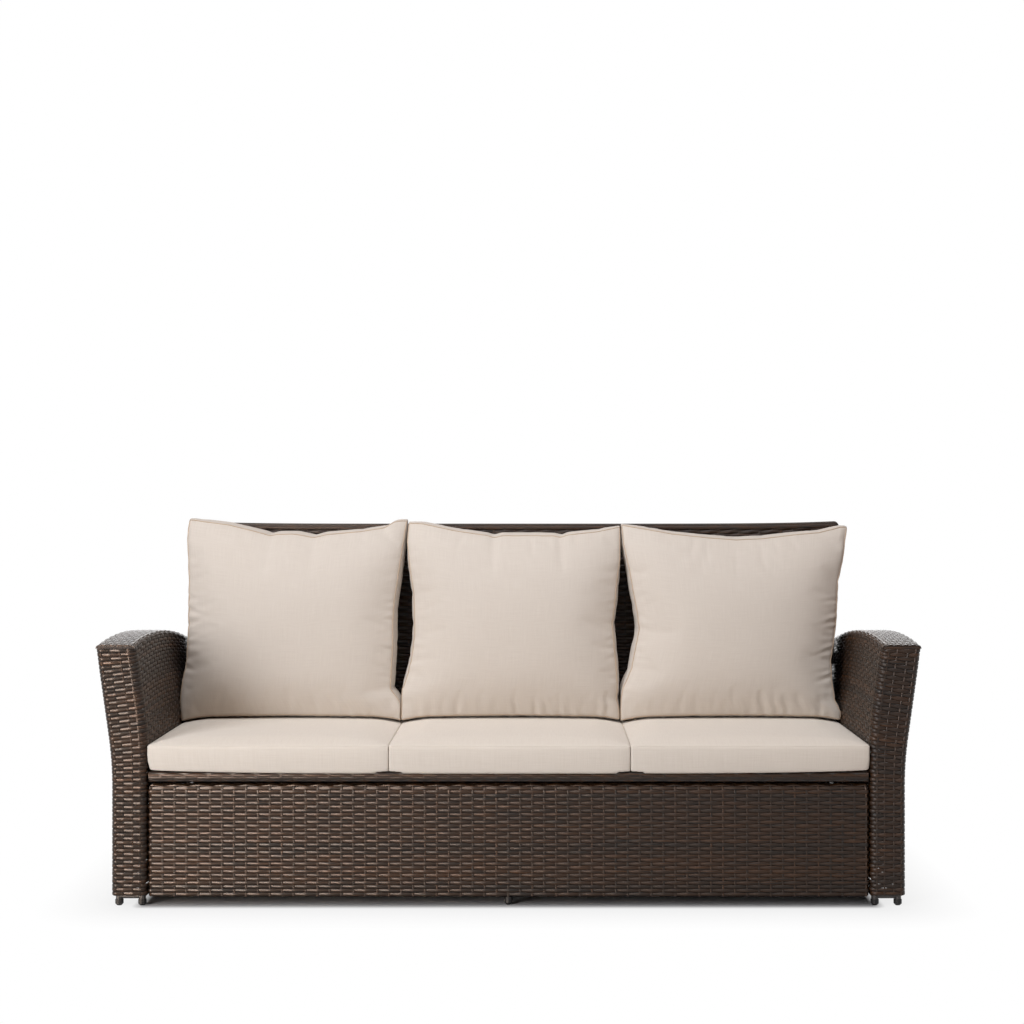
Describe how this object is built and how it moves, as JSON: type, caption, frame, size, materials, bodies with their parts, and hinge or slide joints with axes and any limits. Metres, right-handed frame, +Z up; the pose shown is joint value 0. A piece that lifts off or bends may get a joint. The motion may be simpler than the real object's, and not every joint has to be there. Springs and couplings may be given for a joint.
{
  "type": "three-seat garden sofa",
  "caption": "Wicker garden sofa with flared domed arms, a leaning back, a front skirt, and loose seat and back cushions.",
  "frame": {"origin": "on the floor under the middle of the sofa's bounding box", "axes": "+X to the right as seen from the front, +Y to the rear, +Z up; the sofa faces -Y"},
  "size_m": [1.8824, 0.72, 0.8708],
  "materials": {
    "resin_wicker": "flat extruded resin strand in mixed dark and tan browns, closely woven",
    "frame_steel": "dark brown powder coat",
    "cushion_fabric": "light beige woven polyester",
    "glide_plastic": "black moulded plastic",
    "zinc_steel": "zinc-plated steel"
  },
  "bodies": {
    "root": {"back_bolt_left_1": "zinc_steel", "back_bolt_left_2": "zinc_steel", "back_bolt_left_3": "zinc_steel", "back_bolt_right_1": "zinc_steel", "back_bolt_right_2": "zinc_steel", "back_bolt_right_3": "zinc_steel", "back_centre_glide": "glide_plastic", "back_cushion_left": "cushion_fabric", "back_cushion_middle": "cushion_fabric", "back_cushion_right": "cushion_fabric", "back_frame": "frame_steel", "back_wicker": "resin_wicker", "centre_leg": "frame_steel", "centre_leg_glide": "glide_plastic", "deck_bolt_left_1": "zinc_steel", "deck_bolt_left_2": "zinc_steel", "deck_bolt_right_1": "zinc_steel", "deck_bolt_right_2": "zinc_steel", "left_arm_frame": "frame_steel", "left_arm_glide_front_inner": "glide_plastic", "left_arm_glide_front_outer": "glide_plastic", "left_arm_glide_rear_inner": "glide_plastic", "left_arm_glide_rear_outer": "glide_plastic", "left_arm_wicker": "resin_wicker", "leg_bolt_1": "zinc_steel", "leg_bolt_2": "zinc_steel", "right_arm_frame": "frame_steel", "right_arm_glide_front_inner": "glide_plastic", "right_arm_glide_front_outer": "glide_plastic", "right_arm_glide_rear_inner": "glide_plastic", "right_arm_glide_rear_outer": "glide_plastic", "right_arm_wicker": "resin_wicker", "seat_cushion_left": "cushion_fabric", "seat_cushion_middle": "cushion_fabric", "seat_cushion_right": "cushion_fabric", "seat_deck_wicker": "resin_wicker", "seat_frame": "frame_steel", "skirt_bolt_left_1": "zinc_steel", "skirt_bolt_left_2": "zinc_steel", "skirt_bolt_right_1": "zinc_steel", "skirt_bolt_right_2": "zinc_steel", "skirt_centre_glide": "glide_plastic", "skirt_frame": "frame_steel", "skirt_wicker": "resin_wicker"}
  },
  "joints": []
}
